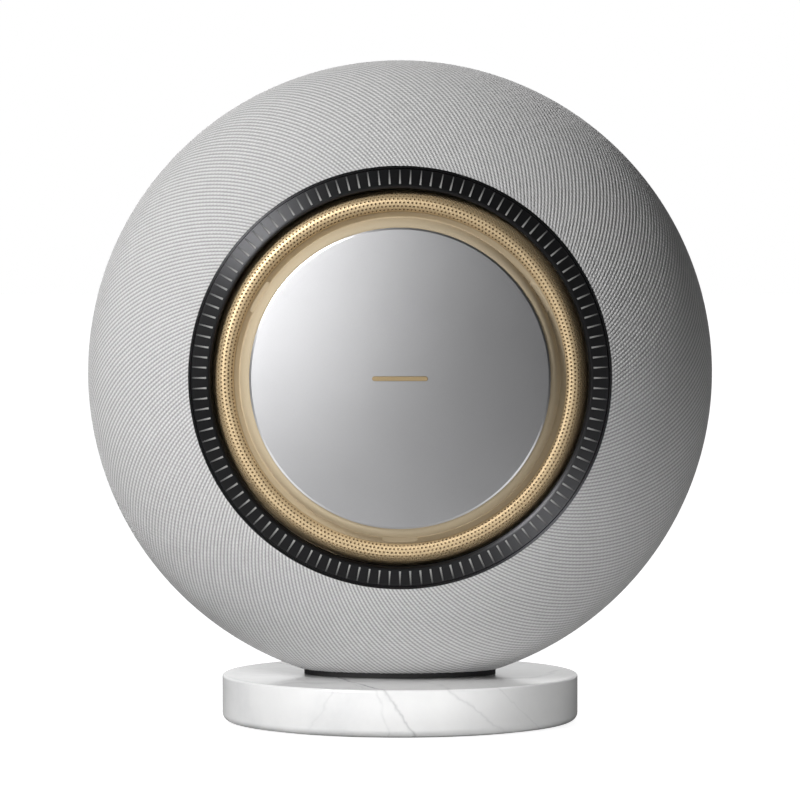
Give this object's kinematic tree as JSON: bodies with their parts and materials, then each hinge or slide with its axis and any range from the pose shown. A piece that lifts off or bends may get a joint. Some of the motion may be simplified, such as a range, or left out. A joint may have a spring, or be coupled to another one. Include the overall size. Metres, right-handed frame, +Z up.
{
  "type": "smart speaker",
  "caption": "Round lens-shaped smart speaker in ribbed knit cover, turning black volume ring, gold mesh ring and floating metal disc, on a round marble base.",
  "frame": {"origin": "centre of the rubber foot pad, on the surface that the speaker stands on", "axes": "+Z up; the front disc faces -Y and the connector bay faces +Y; +X is to the right for someone facing the disc"},
  "size_m": [0.328, 0.1915, 0.3473],
  "materials": {
    "marble": "polished",
    "rubber_black": "matte",
    "zinc_steel": "satin",
    "cast_alloy": "as cast",
    "knit_fabric": "ribbed knit",
    "shell_plastic": "fine texture",
    "ring_black": "gloss with turned grain",
    "tick_pale": "satin",
    "bearing_plastic": "smooth",
    "circuit_board": "solder mask",
    "gold_metal": "satin gold",
    "foam_tape": "closed foam",
    "satin_disc": "fine bead-blasted",
    "bronze_emblem": "satin",
    "ferrite": "matte",
    "woofer_paper": "pulp",
    "spider_cloth": "resin treated",
    "cone_alloy": "satin",
    "silk_dome": "coated silk",
    "heatsink_black": "anodised",
    "antenna_brass": "bright",
    "rear_plastic": "fine texture",
    "socket_black": "moulded",
    "socket_metal": "plated",
    "button_plastic": "satin",
    "mute_accent": "satin"
  },
  "bodies": {
    "cabinet": {"marble_base": "marble", "base_foot_pad": "rubber_black", "base_steel_plate": "zinc_steel", "base_bolts": "zinc_steel", "neck_gasket": "rubber_black", "stand_bracket": "cast_alloy", "fabric_cover": "knit_fabric", "front_shell": "shell_plastic", "rear_shell": "shell_plastic", "shell_gasket": "rubber_black", "shell_screws": "zinc_steel", "inner_baffle": "shell_plastic", "ring_housing": "ring_black", "ring_bearing": "bearing_plastic", "ring_encoder_board": "circuit_board", "mesh_grille": "gold_metal", "disc_carrier": "gold_metal", "carrier_screws": "zinc_steel", "touch_and_mic_board": "circuit_board", "disc_foam_tape": "foam_tape", "front_disc": "satin_disc", "emblem_bar": "bronze_emblem", "woofer_basket": "shell_plastic", "woofer_magnet": "ferrite", "woofer_top_plate": "zinc_steel", "woofer_pole_yoke": "zinc_steel", "woofer_surround": "rubber_black", "woofer_spider": "spider_cloth", "woofer_screws": "zinc_steel", "midrange_frames": "shell_plastic", "midrange_magnets": "ferrite", "midrange_surrounds": "rubber_black", "tweeter_frames": "shell_plastic", "tweeter_magnets": "ferrite", "electronics_chassis": "zinc_steel", "main_board": "circuit_board", "power_supply_board": "circuit_board", "amplifier_board": "circuit_board", "amplifier_heatsink": "heatsink_black", "wifi_antennas": "antenna_brass", "rear_panel": "rear_plastic", "rear_panel_screws": "zinc_steel", "power_inlet": "socket_black", "ethernet_socket": "socket_metal", "hdmi_socket": "socket_metal", "usb_c_socket": "socket_metal", "aux_socket": "socket_black", "button_board": "circuit_board"},
    "volume_ring": {"control_ring": "ring_black", "ring_ticks": "tick_pale", "ring_circlip": "zinc_steel"},
    "woofer_diaphragm": {"woofer_cone": "woofer_paper"},
    "midrange_left": {"midrange_cone_left": "cone_alloy"},
    "midrange_right": {"midrange_cone_right": "cone_alloy"},
    "tweeter_top": {"tweeter_dome_top": "silk_dome"},
    "tweeter_left": {"tweeter_dome_left": "silk_dome"},
    "tweeter_right": {"tweeter_dome_right": "silk_dome"},
    "power_key": {"power_button": "button_plastic"},
    "pairing_key": {"pairing_button": "button_plastic"},
    "mute_slider": {"mic_mute_switch": "mute_accent"}
  },
  "joints": [
    {"name": "volume_turn", "type": "hinge", "parent": "cabinet", "child": "volume_ring", "pos_m": [0, 0, 0.18334], "axis": [0, -1, 0], "continuous": true},
    {"name": "woofer_stroke", "type": "slide", "parent": "cabinet", "child": "woofer_diaphragm", "axis": [0, -1, 0], "range_m": [-0.005, 0.005], "stiffness_N_per_m": 1500},
    {"name": "midrange_left_stroke", "type": "slide", "parent": "cabinet", "child": "midrange_left", "axis": [-0.6303, -0.7003, -0.3351], "range_m": [-0.0015, 0.0015], "stiffness_N_per_m": 1200},
    {"name": "midrange_right_stroke", "type": "slide", "parent": "cabinet", "child": "midrange_right", "axis": [0.6303, -0.7003, -0.3351], "range_m": [-0.0015, 0.0015], "stiffness_N_per_m": 1200},
    {"name": "tweeter_top_stroke", "type": "slide", "parent": "cabinet", "child": "tweeter_top", "axis": [0, -0.7003, 0.7139], "range_m": [-0.0003, 0.0003], "stiffness_N_per_m": 1000},
    {"name": "tweeter_left_stroke", "type": "slide", "parent": "cabinet", "child": "tweeter_left", "axis": [-0.6708, -0.7003, 0.2442], "range_m": [-0.0003, 0.0003], "stiffness_N_per_m": 1000},
    {"name": "tweeter_right_stroke", "type": "slide", "parent": "cabinet", "child": "tweeter_right", "axis": [0.6708, -0.7003, 0.2442], "range_m": [-0.0003, 0.0003], "stiffness_N_per_m": 1000},
    {"name": "power_press", "type": "slide", "parent": "cabinet", "child": "power_key", "axis": [0, -1, 0], "range_m": [0, 0.0012], "stiffness_N_per_m": 500, "springref_m": -0.001},
    {"name": "pairing_press", "type": "slide", "parent": "cabinet", "child": "pairing_key", "axis": [0, -1, 0], "range_m": [0, 0.0012], "stiffness_N_per_m": 500, "springref_m": -0.001},
    {"name": "mute_slide", "type": "slide", "parent": "cabinet", "child": "mute_slider", "axis": [1, 0, 0], "range_m": [0, 0.003]}
  ]
}
